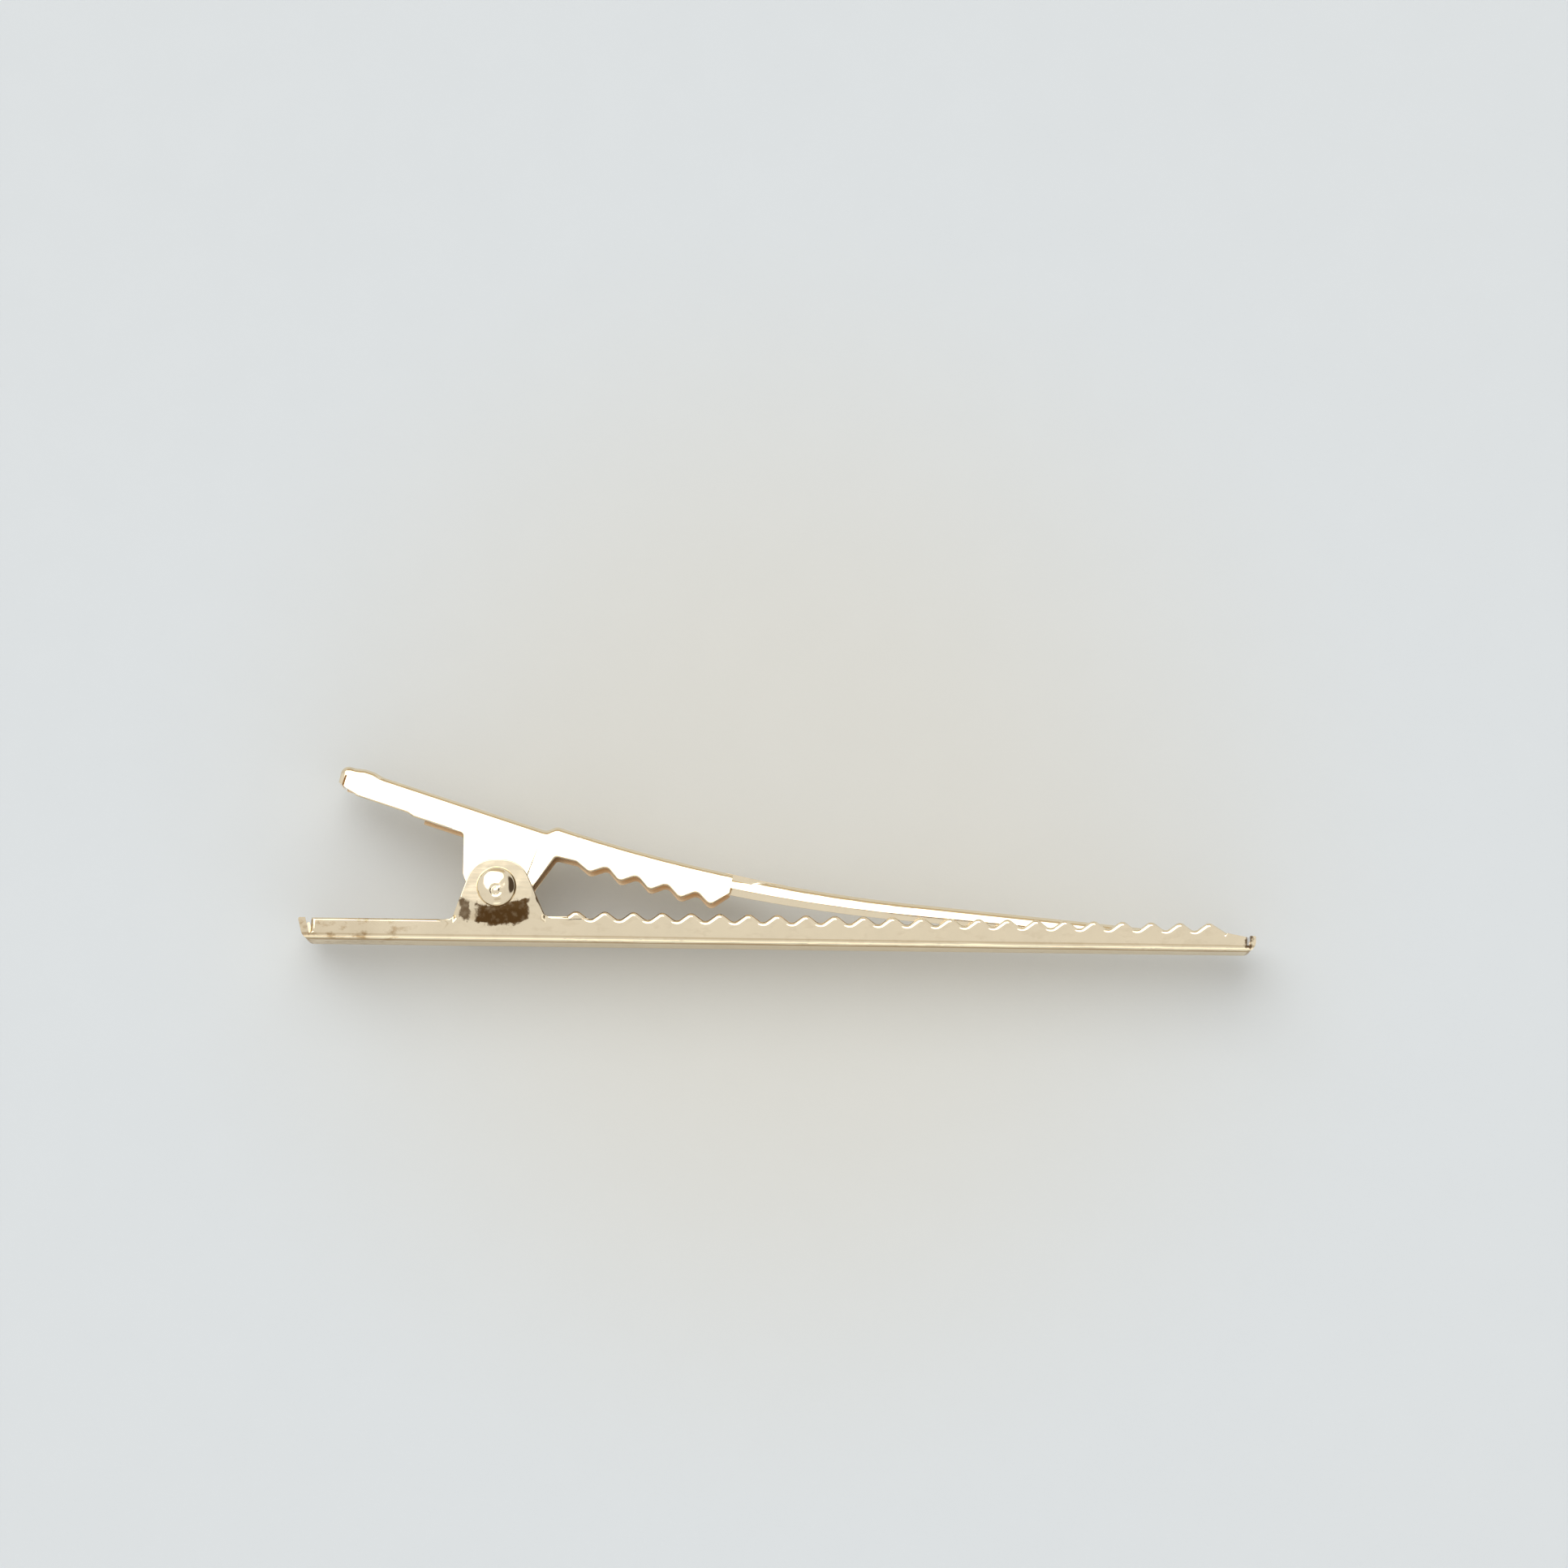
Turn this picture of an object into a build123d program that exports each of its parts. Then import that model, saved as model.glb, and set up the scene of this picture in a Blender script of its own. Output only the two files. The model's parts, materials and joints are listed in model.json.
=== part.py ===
from build123d import *
import os
from math import asin, cos, radians, sin, tan

# A sprung metal sectioning clip that lies on its side. All sizes are in millimetres.
# The parts are drawn about the pivot: the rivet's axis is X = Y = 0, the clip's middle plane
# is Z = 0, +X runs along the long jaw to its tip, and +Y runs from the long jaw's back
# towards the short jaw. The near side is +Z, where the rivet has its nib, and the far side is -Z.
# They are moved to the clip's own frame at the end.

# Stamped sheet, the same for both jaws
SHEET = 0.4
SPRING_BACK = 2.5  # degrees that every wall leans outwards, away from its web
LEAN = tan(radians(SPRING_BACK))

# Long jaw: a straight channel whose web is the clip's back
LONG_START = -13.45
LONG_END = 51.55
LONG_BACK = -3.68
LONG_BEND = 0.6  # outside of the bend between the web and each wall
LONG_HALF_WIDTH = 2.55  # at the web, up to where the taper starts
LONG_TIP_HALF_WIDTH = 2.15
TAPER_START = 4.5
LONG_HANDLE_TOP = -2.2  # top edge of the walls behind the ears
LONG_FLAT_TOP = -1.92  # top edge of the walls between the ears and the first tooth
LONG_CORNER = 0.7  # rounding of the back into the end flanges
LAST_SLOPE = (2.0, -2.42)  # where the walls' last slope starts: distance before the tip, and height
WALL_END = (0.55, -2.7)  # and where it ends

# Teeth
LONG_TEETH = 23
LONG_TOOTH_PITCH = 1.952
LONG_FIRST_TOOTH = 5.4
LONG_FIRST_PEAK = -1.43  # height of the first tooth's sharp crest
LONG_LAST_PEAK = -1.67
TOOTH_DEPTH = 0.72  # sharp crest to sharp root
TOOTH_ROUNDING = 0.45

# End flanges, folded up from the web and parted from the walls by a slot
FLANGE_LEAN = 0.35  # how far the handle-end flange leans out
SLOT_FLOOR = -3.25
TIP_SLOT = 0.2
TIP_FLANGE_TOP = -2.6
HANDLE_SLOT = 0.1  # at its bottom
HANDLE_SLOT_MOUTH = 0.55
FLANGE_INNER_ROUNDING = 0.05  # of a flange's top edge
FLANGE_OUTER_ROUNDING = 0.12

# Outer ears, set out by a joggle so that they pass outside the short jaw's ears
EAR_INNER = 2.62  # inner face, from the middle plane
EAR_TOP = 1.87
EAR_FOOT = (-3.02, 3.32)
EAR_SHOULDER = (-1.53, 1.62)
EAR_ROUNDING = 1.85
EAR_FOOT_ROUNDING = 0.4
EAR_BLANK = (-4.2, 4.2)  # how far the ear's band runs along the wall
JOGGLE_STEPS = 4  # straight stretches between the joggle's foot and its head
JOGGLE_FOOT = -2.72
JOGGLE_HEAD = -1.3  # under the rivet
JOGGLE_RISE = 0.12  # how its head curves up round the rivet, for each square millimetre of X
JOGGLE_FLAT = 2.35  # half length of the joggle, where it is at its full depth
JOGGLE_RUNOUT = 3.7  # half length over which it fades into the wall
JOGGLE_STATIONS = (0, 0.8, 1.6, JOGGLE_FLAT, 2.65, 2.95, 3.3, JOGGLE_RUNOUT, EAR_BLANK[1])

# Short jaw: straight handle, ears, toothed stretch and a long narrow prong
SHORT_HALF_WIDTH = 2.34  # outside, at the pivot's height
SHORT_BEND = 0.48  # outside of the bend between the web and each wall
HANDLE_ANGLE = 17.5  # degrees that the handle rises towards its end
HANDLE_ROOT = (3.3, 3.93)  # the kink, where the handle's outer line ends
HANDLE_LENGTH = 14.6
HANDLE_WALL = 1.92  # near the ears
HANDLE_END_WALL = 1.78
HANDLE_STEP = (8.9, 9.4)  # distances from the kink between which the wall's height changes
HANDLE_END = (0.1, 1.25)  # lower edge of its end: short of the full length, and below the outer line
HANDLE_CHAMFER = 1.6  # length of the walls' slanted lower corner at that end
HANDLE_ROUNDINGS = (0.5, 0.3, 0.3, 0.3, 0.3, 0.4)  # of the walls' corners, from that end to the ear
FAR_WALL_TRIM = (8.0, 0.36)  # distance from the kink where the far wall gets shallower, by how much
SHORT_SLOT = (0.12, 0.3)  # between walls and end flange: width at its bottom, and far below it
SHORT_SLOT_BOTTOM = 0.25  # below the web's inside
HANDLE_CORNER = 0.55
HANDLE_RIB = (12.7, 1.0, 0.15)  # finger rib across the web: distance from the kink, half length, height
RIB_TOP = 0.35  # half length of the rib's flat top
WEB_ROUNDINGS = (0.6, 0.6, 1.0, 1.0, 1.0, 1.0)  # of the web's corners: two at the kink, four on the rib
ARM_START = (4.0, 4.24)  # outer line after the kink
ARM_RADIUS = 117.0
ARM_ANGLE = -17.5  # degrees, the arm's direction at its start
KINK_RUN = 1.2  # length of arm that the kink's rounding may use
INNER_EAR_LEFT = -2.33
INNER_EAR_FLANK = 0.9  # lower end of the ear's straight left edge
GUSSET_START = 6.1  # the slanted corner between the handle's wall and the ear
GUSSET_FOOT = 3.7
INNER_EAR_RADIUS = 1.9
INNER_EAR_ARC = (190, 324.5)  # degrees, the round end of the ear
INNER_EAR_NOTCH = (3.93, 2.17)  # top of the gap between the ear and the teeth
FIRST_ROOT = (5.35, 1.85)  # between that gap and the first tooth
NOTCH_ROUNDING = 0.25

# Toothed stretch of the short jaw, along the arm and below its outer line
SHORT_TEETH = 5
SHORT_TOOTH_PITCH = 2.085
SHORT_FIRST_TOOTH = 3.0
SHORT_FIRST_DEPTH = 2.34
SHORT_LAST_DEPTH = 2.44
SHORT_END = 12.42
SHORT_END_DEPTH = 1.3  # of the end's lower corner

# Prong, pressed down into the long jaw's channel near its tip
PRONG_HALF_WIDTH = 1.6  # outside, at its web
PRONG_LEAN = tan(radians(4.0))  # its low flanges spring back further than the walls do
PRONG_START = 11.6
PRONG_BEND_END = 25.0  # where the curve runs out into a straight
PRONG_LENGTH = 45.8
PRONG_FLANGE = (0.92, 0.58)  # height of its near flange at the root and at the tip
FAR_FLANGE = (1.2, 0.62)
PRONG_BEND = 0.55  # outside of the bend between its web and each flange
SHOULDER = 3.6  # chamfer from the toothed stretch's width to the prong's
SHOULDER_LAP = 0.5  # how far the shoulder reaches back into the toothed stretch's web

# Rivet
SHANK_RADIUS = 0.75
RUNNING_CLEARANCE = 0.05
HEAD_RADIUS = 1.36
HEAD_HEIGHT = 0.78  # without the nib
HEAD_RIM = 0.1
NIB_RADIUS = 0.4  # the nib is part of a small ball
NIB_HEIGHT = 0.09

# Torsion spring
WIRE_RADIUS = 0.3
COIL_RADIUS = 1.3  # to the middle of the wire
COIL_TURNS = 4
COIL_PITCH = 0.66
LEG_BEND = 0.8
LONG_LEG_END = -9.5
SHORT_LEG_LENGTH = 8.2
LEG_GAP = 0.03  # between a leg and the web that it presses on

# Where the pivot lies in the clip's own frame, which stands on Z = 0 with the Z axis through
# the middle of the clip's box
PIVOT = (-19.07, -2.24, 3.8)

# Cutting shapes: one that only has to reach past the clip, and one that stops just past an edge
BEYOND = 6.0
OVERRUN = 1.0


def extruded(outline, half_width):
    """A side view's closed outline, as thick as twice half_width about the middle plane."""
    return extrude(outline, amount=half_width, both=True)


def filled(*lines):
    """The face inside lines that join end to end."""
    return make_face([edge for line in lines for edge in line.edges()])


# ---- Long jaw ----


def long_half_width(x):
    """Half of the long jaw's outer width at its web."""
    if x <= TAPER_START:
        return LONG_HALF_WIDTH
    share = (x - TAPER_START) / (LONG_END - TAPER_START)
    return LONG_HALF_WIDTH + share * (LONG_TIP_HALF_WIDTH - LONG_HALF_WIDTH)


def trough_section(x, inset):
    """Cross-section of the space inside the long jaw's skin, inset by the sheet or by 0."""
    foot = long_half_width(x) - inset
    floor = LONG_BACK + inset
    spread = foot + LEAN * BEYOND
    corners = [(floor, foot), (floor + BEYOND, spread), (floor + BEYOND, -spread), (floor, -foot)]
    plane = Plane(origin=(x, 0, 0), x_dir=(0, 1, 0), z_dir=(1, 0, 0))
    section = Polygon(*corners, align=None)
    bends = section.vertices().sort_by(Axis.X)[:2]
    return plane * fillet(bends, LONG_BEND - inset)


def trough(inset):
    """The long jaw's width and bends, from past one end to past the other."""
    stations = (LONG_START - OVERRUN, TAPER_START, LONG_END + OVERRUN)
    return loft([trough_section(x, inset) for x in stations], ruled=True)


def long_tooth_line():
    """Sharp crests and roots of the long jaw's teeth, from the ears to the tip."""
    fall = (LONG_LAST_PEAK - LONG_FIRST_PEAK) / (LONG_TEETH - 1)
    points = []
    for i in range(LONG_TEETH):
        crest = LONG_FIRST_PEAK + i * fall
        x = LONG_FIRST_TOOTH + i * LONG_TOOTH_PITCH
        points.append((x, crest))
        if i < LONG_TEETH - 1:
            points.append((x + LONG_TOOTH_PITCH / 2, crest + fall / 2 - TOOTH_DEPTH))
    return points


def long_side():
    """Side view of the long jaw without its ears."""
    first_root = (LONG_FIRST_TOOTH - LONG_TOOTH_PITCH / 3, LONG_FLAT_TOP)
    teeth = [first_root, *long_tooth_line()]
    last_slope = (LONG_END - LAST_SLOPE[0], LAST_SLOPE[1])
    wall_end = (LONG_END - WALL_END[0], WALL_END[1])
    top = FilletPolyline(
        (EAR_BLANK[1], LONG_FLAT_TOP),
        *teeth,
        last_slope,
        wall_end,
        radius=TOOTH_ROUNDING,
    )
    handle_foot = (LONG_START + FLANGE_LEAN, LONG_BACK)
    ends = FilletPolyline(
        wall_end,
        (LONG_END - SHEET, TIP_FLANGE_TOP),
        (LONG_END, TIP_FLANGE_TOP),
        (LONG_END, LONG_BACK),
        handle_foot,
        (LONG_START, LONG_HANDLE_TOP),
        (EAR_BLANK[0], LONG_HANDLE_TOP),
        radius=[
            FLANGE_INNER_ROUNDING,
            FLANGE_OUTER_ROUNDING,
            LONG_CORNER,
            LONG_CORNER,
            FLANGE_OUTER_ROUNDING,
        ],
    )
    step = Polyline(
        (EAR_BLANK[0], LONG_HANDLE_TOP),
        (0, LONG_HANDLE_TOP),
        (0, LONG_FLAT_TOP),
        (EAR_BLANK[1], LONG_FLAT_TOP),
    )
    return filled(top, ends, step)


def long_cavity():
    """The space between the long jaw's walls and end flanges."""
    floor = LONG_BACK + SHEET
    lean = FLANGE_LEAN / (LONG_HANDLE_TOP - LONG_BACK)
    handle_face = LONG_START + FLANGE_LEAN + SHEET
    side = Polygon(
        (handle_face - lean * SHEET, floor),
        (LONG_END - SHEET, floor),
        (LONG_END - SHEET, floor + BEYOND),
        (handle_face - lean * BEYOND, floor + BEYOND),
        align=None,
    )
    return trough(SHEET) & extruded(side, BEYOND)


def end_slots():
    """Cuts that part the walls from the end flanges."""
    tip = LONG_END - SHEET
    tip_slot = Polygon(
        (tip - TIP_SLOT, SLOT_FLOOR),
        (tip, SLOT_FLOOR),
        (tip, SLOT_FLOOR + BEYOND),
        (tip - TIP_SLOT, SLOT_FLOOR + BEYOND),
        align=None,
    )
    foot = LONG_START + FLANGE_LEAN + SHEET
    mouth = foot - FLANGE_LEAN
    handle_slot = Polygon(
        (foot, SLOT_FLOOR),
        (foot + HANDLE_SLOT, SLOT_FLOOR),
        (mouth + HANDLE_SLOT_MOUTH, LONG_HANDLE_TOP + SHEET),
        (mouth, LONG_HANDLE_TOP + SHEET),
        align=None,
    )
    return extruded(tip_slot, BEYOND) + extruded(handle_slot, BEYOND)


def ease(share):
    """A smooth rise from 0 to 1 as share goes from 0 to 1."""
    share = min(max(share, 0), 1)
    return share * share * (3 - 2 * share)


def ear_section(x):
    """Cross-section of the ear's band: the wall, the joggle and the ear that stands off to the side."""
    low = LONG_BACK + LONG_BEND
    head = JOGGLE_HEAD + JOGGLE_RISE * min(abs(x), JOGGLE_FLAT) ** 2
    depth = 1 - ease((abs(x) - JOGGLE_FLAT) / (JOGGLE_RUNOUT - JOGGLE_FLAT))
    rise = head - JOGGLE_FOOT
    joggle = [JOGGLE_FOOT + rise * step / JOGGLE_STEPS for step in range(JOGGLE_STEPS + 1)]
    heights = [low, *joggle, EAR_TOP + OVERRUN]
    outside = []
    for y in heights:
        wall = long_half_width(0) + LEAN * (y - LONG_BACK)
        set_out = depth * ease((y - JOGGLE_FOOT) / rise)
        outside.append((y, wall + set_out * (EAR_INNER + SHEET - wall)))
    inside = [(y, z - SHEET) for y, z in outside]
    slopes = [(1, LEAN), (1, LEAN * (1 - depth))]
    lines = []
    for side in (outside, inside):
        lines += [Spline(*side[:-1], tangents=slopes), Line(side[-2], side[-1])]
    band = filled(*lines, Line(outside[0], inside[0]), Line(outside[-1], inside[-1]))
    return Plane(origin=(x, 0, 0), x_dir=(0, 1, 0), z_dir=(1, 0, 0)) * band


def outer_ears():
    """Both ears, cut from bands that leave the walls through a joggle and stand off to the sides."""
    stations = [-x for x in reversed(JOGGLE_STATIONS[1:])] + list(JOGGLE_STATIONS)
    strip = loft([ear_section(x) for x in stations], ruled=True)
    low = LONG_BACK + LONG_BEND
    top = FilletPolyline(
        (EAR_BLANK[0], LONG_HANDLE_TOP),
        (EAR_FOOT[0], LONG_HANDLE_TOP),
        (EAR_SHOULDER[0], EAR_TOP),
        (EAR_SHOULDER[1], EAR_TOP),
        (EAR_FOOT[1], LONG_FLAT_TOP),
        (EAR_BLANK[1], LONG_FLAT_TOP),
        radius=[EAR_FOOT_ROUNDING, EAR_ROUNDING, EAR_ROUNDING, EAR_FOOT_ROUNDING],
    )
    base = Polyline(
        (EAR_BLANK[1], LONG_FLAT_TOP),
        (EAR_BLANK[1], low),
        (EAR_BLANK[0], low),
        (EAR_BLANK[0], LONG_HANDLE_TOP),
    )
    ear = strip & extruded(filled(top, base), BEYOND)
    ear -= Cylinder(SHANK_RADIUS, 2 * BEYOND)
    return ear + mirror(ear, Plane.XY)


def long_jaw():
    """Straight toothed channel with its end flanges and outer ears, as one stamping."""
    channel = extruded(long_side(), BEYOND) & trough(0)
    # The ears' bands take the place of the walls above the bend, so the walls are cut away there
    window = Pos((EAR_BLANK[0] + EAR_BLANK[1]) / 2, 0, 0) * Box(
        EAR_BLANK[1] - EAR_BLANK[0], 2 * abs(LONG_BACK + LONG_BEND), 4 * BEYOND
    )
    return channel - long_cavity() - end_slots() - window + outer_ears()


# ---- Short jaw ----


def handle_point(along, below):
    """A point by its distance along the handle from the kink and below its outer line."""
    angle = radians(HANDLE_ANGLE)
    x, y = HANDLE_ROOT
    return (x - along * cos(angle) - below * sin(angle), y + along * sin(angle) - below * cos(angle))


def arm_point(along, below):
    """A point by its distance along the curved arm from the kink and below its outer line."""
    start = radians(ARM_ANGLE - 90)
    centre_x = ARM_START[0] - ARM_RADIUS * cos(start)
    centre_y = ARM_START[1] - ARM_RADIUS * sin(start)
    angle = start + min(along, PRONG_BEND_END) / ARM_RADIUS
    reach = ARM_RADIUS + below
    straight = max(0, along - PRONG_BEND_END)
    x = centre_x + reach * cos(angle) - straight * sin(angle)
    y = centre_y + reach * sin(angle) + straight * cos(angle)
    return (x, y)


def arm_arc(start, end, below):
    """The stretch of the arm's curve from start to end, below its outer line."""
    points = (arm_point(along, below) for along in (start, (start + end) / 2, end))
    return ThreePointArc(*points)


def short_tooth_line():
    """Sharp crests and roots of the short jaw's teeth, from the ears to the toothed end."""
    points = []
    for i in range(SHORT_TEETH):
        depth = SHORT_FIRST_DEPTH + i * (SHORT_LAST_DEPTH - SHORT_FIRST_DEPTH) / (SHORT_TEETH - 1)
        along = SHORT_FIRST_TOOTH + i * SHORT_TOOTH_PITCH
        points.append(arm_point(along, depth))
        if i < SHORT_TEETH - 1:
            points.append(arm_point(along + SHORT_TOOTH_PITCH / 2, depth - TOOTH_DEPTH))
    return points


def web_line(below):
    """The handle's web from the arm to its end, over the kink and the finger rib."""
    rib, half, height = HANDLE_RIB
    return [
        arm_point(KINK_RUN, below),
        arm_point(0, below),
        handle_point(0, below),
        handle_point(rib - half, below),
        handle_point(rib - RIB_TOP, below - height),
        handle_point(rib + RIB_TOP, below - height),
        handle_point(rib + half, below),
        handle_point(HANDLE_LENGTH - below, below),
    ]


def short_side():
    """Side view of the handle, the ear and the toothed stretch."""
    ear_start, ear_end = (
        (INNER_EAR_RADIUS * cos(radians(angle)), INNER_EAR_RADIUS * sin(radians(angle)))
        for angle in INNER_EAR_ARC
    )
    handle_end = handle_point(HANDLE_LENGTH - HANDLE_END[0], HANDLE_END[1])
    web = FilletPolyline(*web_line(0), handle_end, radius=[*WEB_ROUNDINGS, HANDLE_CORNER])
    handle = FilletPolyline(
        handle_end,
        handle_point(HANDLE_LENGTH - HANDLE_CHAMFER, HANDLE_END_WALL),
        handle_point(HANDLE_STEP[1], HANDLE_END_WALL),
        handle_point(HANDLE_STEP[0], HANDLE_WALL),
        handle_point(GUSSET_START, HANDLE_WALL),
        (INNER_EAR_LEFT, GUSSET_FOOT),
        (INNER_EAR_LEFT, INNER_EAR_FLANK),
        ear_start,
        radius=[*HANDLE_ROUNDINGS],
    )
    ear = ThreePointArc(ear_start, (0, -INNER_EAR_RADIUS), ear_end)
    teeth = short_tooth_line()
    end_foot = arm_point(SHORT_END, SHORT_END_DEPTH)
    lower = FilletPolyline(
        ear_end,
        INNER_EAR_NOTCH,
        FIRST_ROOT,
        *teeth,
        end_foot,
        radius=[NOTCH_ROUNDING, NOTCH_ROUNDING, *[TOOTH_ROUNDING] * len(teeth)],
    )
    end = Line(end_foot, arm_point(SHORT_END, 0))
    return filled(web, handle, ear, lower, end, arm_arc(KINK_RUN, SHORT_END, 0))


def short_web_inside():
    """Side view of the space under the short jaw's web."""
    floor = HANDLE_END_WALL + BEYOND
    roof = FilletPolyline(
        *web_line(SHEET),
        handle_point(HANDLE_LENGTH - SHEET, floor),
        radius=[*WEB_ROUNDINGS, HANDLE_CORNER - SHEET],
    )
    arm_end = SHORT_END + OVERRUN
    toothed = arm_arc(KINK_RUN, arm_end, SHEET)
    rest = Polyline(
        arm_point(arm_end, SHEET),
        arm_point(arm_end, floor),
        handle_point(HANDLE_LENGTH - SHEET, floor),
    )
    return filled(roof, toothed, rest)


def leaning_space(start, end, level, half_width, lean):
    """The space along a web from start to end, between walls that lean out and are half_width from
    the middle plane at the height of level."""
    run = Vector(end[0] - start[0], end[1] - start[1])
    down = Vector(run.Y, -run.X).normalized()
    level_depth = down.dot(Vector(level[0] - start[0], level[1] - start[1]))
    low, high = -BEYOND, 2 * BEYOND
    narrow, wide = (half_width + lean * (depth - level_depth) for depth in (low, high))
    corners = [(low, -narrow), (high, -wide), (high, wide), (low, narrow)]
    plane = Plane(origin=Vector(*start) - run.normalized() * OVERRUN, x_dir=down, z_dir=run)
    return extrude(plane * Polygon(*corners, align=None), amount=run.length + 2 * OVERRUN)


def short_width(inset):
    """The width of the handle and toothed stretch."""
    handle_end, arm_end = handle_point(HANDLE_LENGTH, 0), arm_point(SHORT_END, 0)
    return leaning_space(handle_end, arm_end, (0, 0), SHORT_HALF_WIDTH - inset, LEAN)


def side_faces(shape):
    """The faces that look along the rivet."""
    return [face for face in shape.faces() if abs(face.normal_at().Z) > 0.9]


def top_faces(shape):
    """The faces that look up, away from the long jaw."""
    return [face for face in shape.faces() if face.normal_at().Y > 0.7]


def shared_edges(faces, others):
    """The edges along which any of faces meets any of others."""
    found = []
    for face in faces:
        for edge in face.edges():
            if any(edge.is_same(match) for other in others for match in other.edges()):
                found.append(edge)
    return found


def prong_side(start, below, lower):
    """Side view of a stretch of the prong, from a depth below its outer line to a lower line."""
    root, tip = lower
    bend_share = (PRONG_BEND_END - start) / (PRONG_LENGTH - start)
    at_bend = root + (tip - root) * bend_share
    middle = (start + PRONG_BEND_END) / 2
    outer = arm_arc(start, PRONG_BEND_END, below)
    outer_run = Polyline(
        arm_point(PRONG_BEND_END, below),
        arm_point(PRONG_LENGTH, below),
        arm_point(PRONG_LENGTH, tip),
        arm_point(PRONG_BEND_END, at_bend),
    )
    lower_arc = ThreePointArc(
        arm_point(PRONG_BEND_END, at_bend),
        arm_point(middle, (root + at_bend) / 2),
        arm_point(start, root),
    )
    return filled(outer, outer_run, lower_arc, Line(arm_point(start, root), arm_point(start, below)))


def prong():
    """The narrow channel that reaches from the toothed stretch into the long jaw."""
    shapes = []
    root, tip = arm_point(PRONG_START, 0), arm_point(PRONG_LENGTH, 0)
    for inset, lower in ((0, FAR_FLANGE), (SHEET, (BEYOND, BEYOND))):
        width = leaning_space(root, tip, root, PRONG_HALF_WIDTH - inset, PRONG_LEAN)
        shape = extruded(prong_side(PRONG_START, inset, lower), BEYOND) & width
        web_edges = shared_edges(top_faces(shape), side_faces(shape))
        shapes.append(fillet(web_edges, PRONG_BEND - inset))
    blank, hollow = shapes
    below = prong_side(PRONG_START, 0, FAR_FLANGE) - prong_side(PRONG_START, 0, PRONG_FLANGE)
    near_trim = Pos(0, 0, BEYOND / 2) * extruded(below, BEYOND / 2)
    return blank - hollow - near_trim


def shoulder():
    """The web where it narrows from the toothed stretch to the prong."""
    root, end = SHORT_END - SHOULDER_LAP, SHORT_END + SHOULDER
    skin = filled(
        arm_arc(root, end, 0),
        Line(arm_point(end, 0), arm_point(end, SHEET)),
        arm_arc(root, end, SHEET),
        Line(arm_point(root, SHEET), arm_point(root, 0)),
    )
    wide = SHORT_HALF_WIDTH - SHORT_BEND
    narrow = PRONG_HALF_WIDTH - SHEET
    root_x, shoulder_x, end_x = (arm_point(along, 0)[0] for along in (root, SHORT_END, end))
    plan = Polygon(
        (root_x - OVERRUN, wide),
        (shoulder_x, wide),
        (end_x, narrow),
        (end_x, -narrow),
        (shoulder_x, -wide),
        (root_x - OVERRUN, -wide),
        align=None,
    )
    cutter = extrude(Plane.XZ * plan, amount=2 * BEYOND, both=True)
    return extruded(skin, BEYOND) & cutter


def handle_slot():
    """Cut that parts the handle's walls from its end flange."""
    flange = HANDLE_LENGTH - SHEET
    bottom = SHEET + SHORT_SLOT_BOTTOM
    floor = HANDLE_END_WALL + BEYOND
    side = Polygon(
        handle_point(flange - SHORT_SLOT[0], bottom),
        handle_point(flange, bottom),
        handle_point(flange, floor),
        handle_point(flange - SHORT_SLOT[1], floor),
        align=None,
    )
    return extruded(side, BEYOND)


def far_wall_trim():
    """Cut that takes the lower edge off the handle's far wall."""
    start, trim = FAR_WALL_TRIM
    past_end = HANDLE_LENGTH + OVERRUN
    side = Polygon(
        handle_point(past_end, HANDLE_END_WALL - trim),
        handle_point(HANDLE_STEP[1], HANDLE_END_WALL - trim),
        handle_point(HANDLE_STEP[0], HANDLE_WALL - trim),
        handle_point(start + trim, HANDLE_WALL - trim),
        handle_point(start, BEYOND),
        handle_point(past_end, BEYOND),
        align=None,
    )
    return Pos(0, 0, -BEYOND / 2) * extruded(side, BEYOND / 2)


def short_jaw():
    """Handle, inner ears, toothed stretch and prong, as one stamping."""
    blank = extruded(short_side(), BEYOND) & short_width(0)
    blank = fillet(shared_edges(top_faces(blank), side_faces(blank)), SHORT_BEND)
    cavity = extruded(short_web_inside(), BEYOND) & short_width(SHEET)
    body = blank - cavity - handle_slot() - far_wall_trim()
    body -= Cylinder(SHANK_RADIUS + RUNNING_CLEARANCE, 2 * BEYOND)
    return body + shoulder() + prong()


# ---- Rivet and spring ----


def dome_arc(radius, foot, height, up):
    """Half of a ball-shaped dome's outline, from its edge to the rivet's axis."""
    ball = (radius**2 + height**2) / (2 * height)
    slope = asin(radius / ball) / 2
    flank = (ball * sin(slope), up * (foot + height - ball * (1 - cos(slope))))
    return ThreePointArc((radius, up * foot), flank, (0, up * (foot + height)))


def rivet():
    """Shank through all four ears with a domed head at each end, the upper one with a nib."""
    seat = EAR_INNER + SHEET
    rim = seat + HEAD_RIM
    rise = HEAD_HEIGHT - HEAD_RIM
    profile = filled(
        dome_arc(HEAD_RADIUS, rim, rise, 1),
        Line((0, rim + rise), (0, -rim - rise)),
        dome_arc(HEAD_RADIUS, rim, rise, -1),
        Polyline((HEAD_RADIUS, -rim), (HEAD_RADIUS, -seat), (SHANK_RADIUS, -seat)),
        Polyline((SHANK_RADIUS, -seat), (SHANK_RADIUS, seat), (HEAD_RADIUS, seat), (HEAD_RADIUS, rim)),
    )
    body = revolve(Plane.XZ * profile, Axis.Z)
    nib = Pos(0, 0, rim + rise - NIB_RADIUS + NIB_HEIGHT) * Sphere(NIB_RADIUS)
    return body + nib


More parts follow.
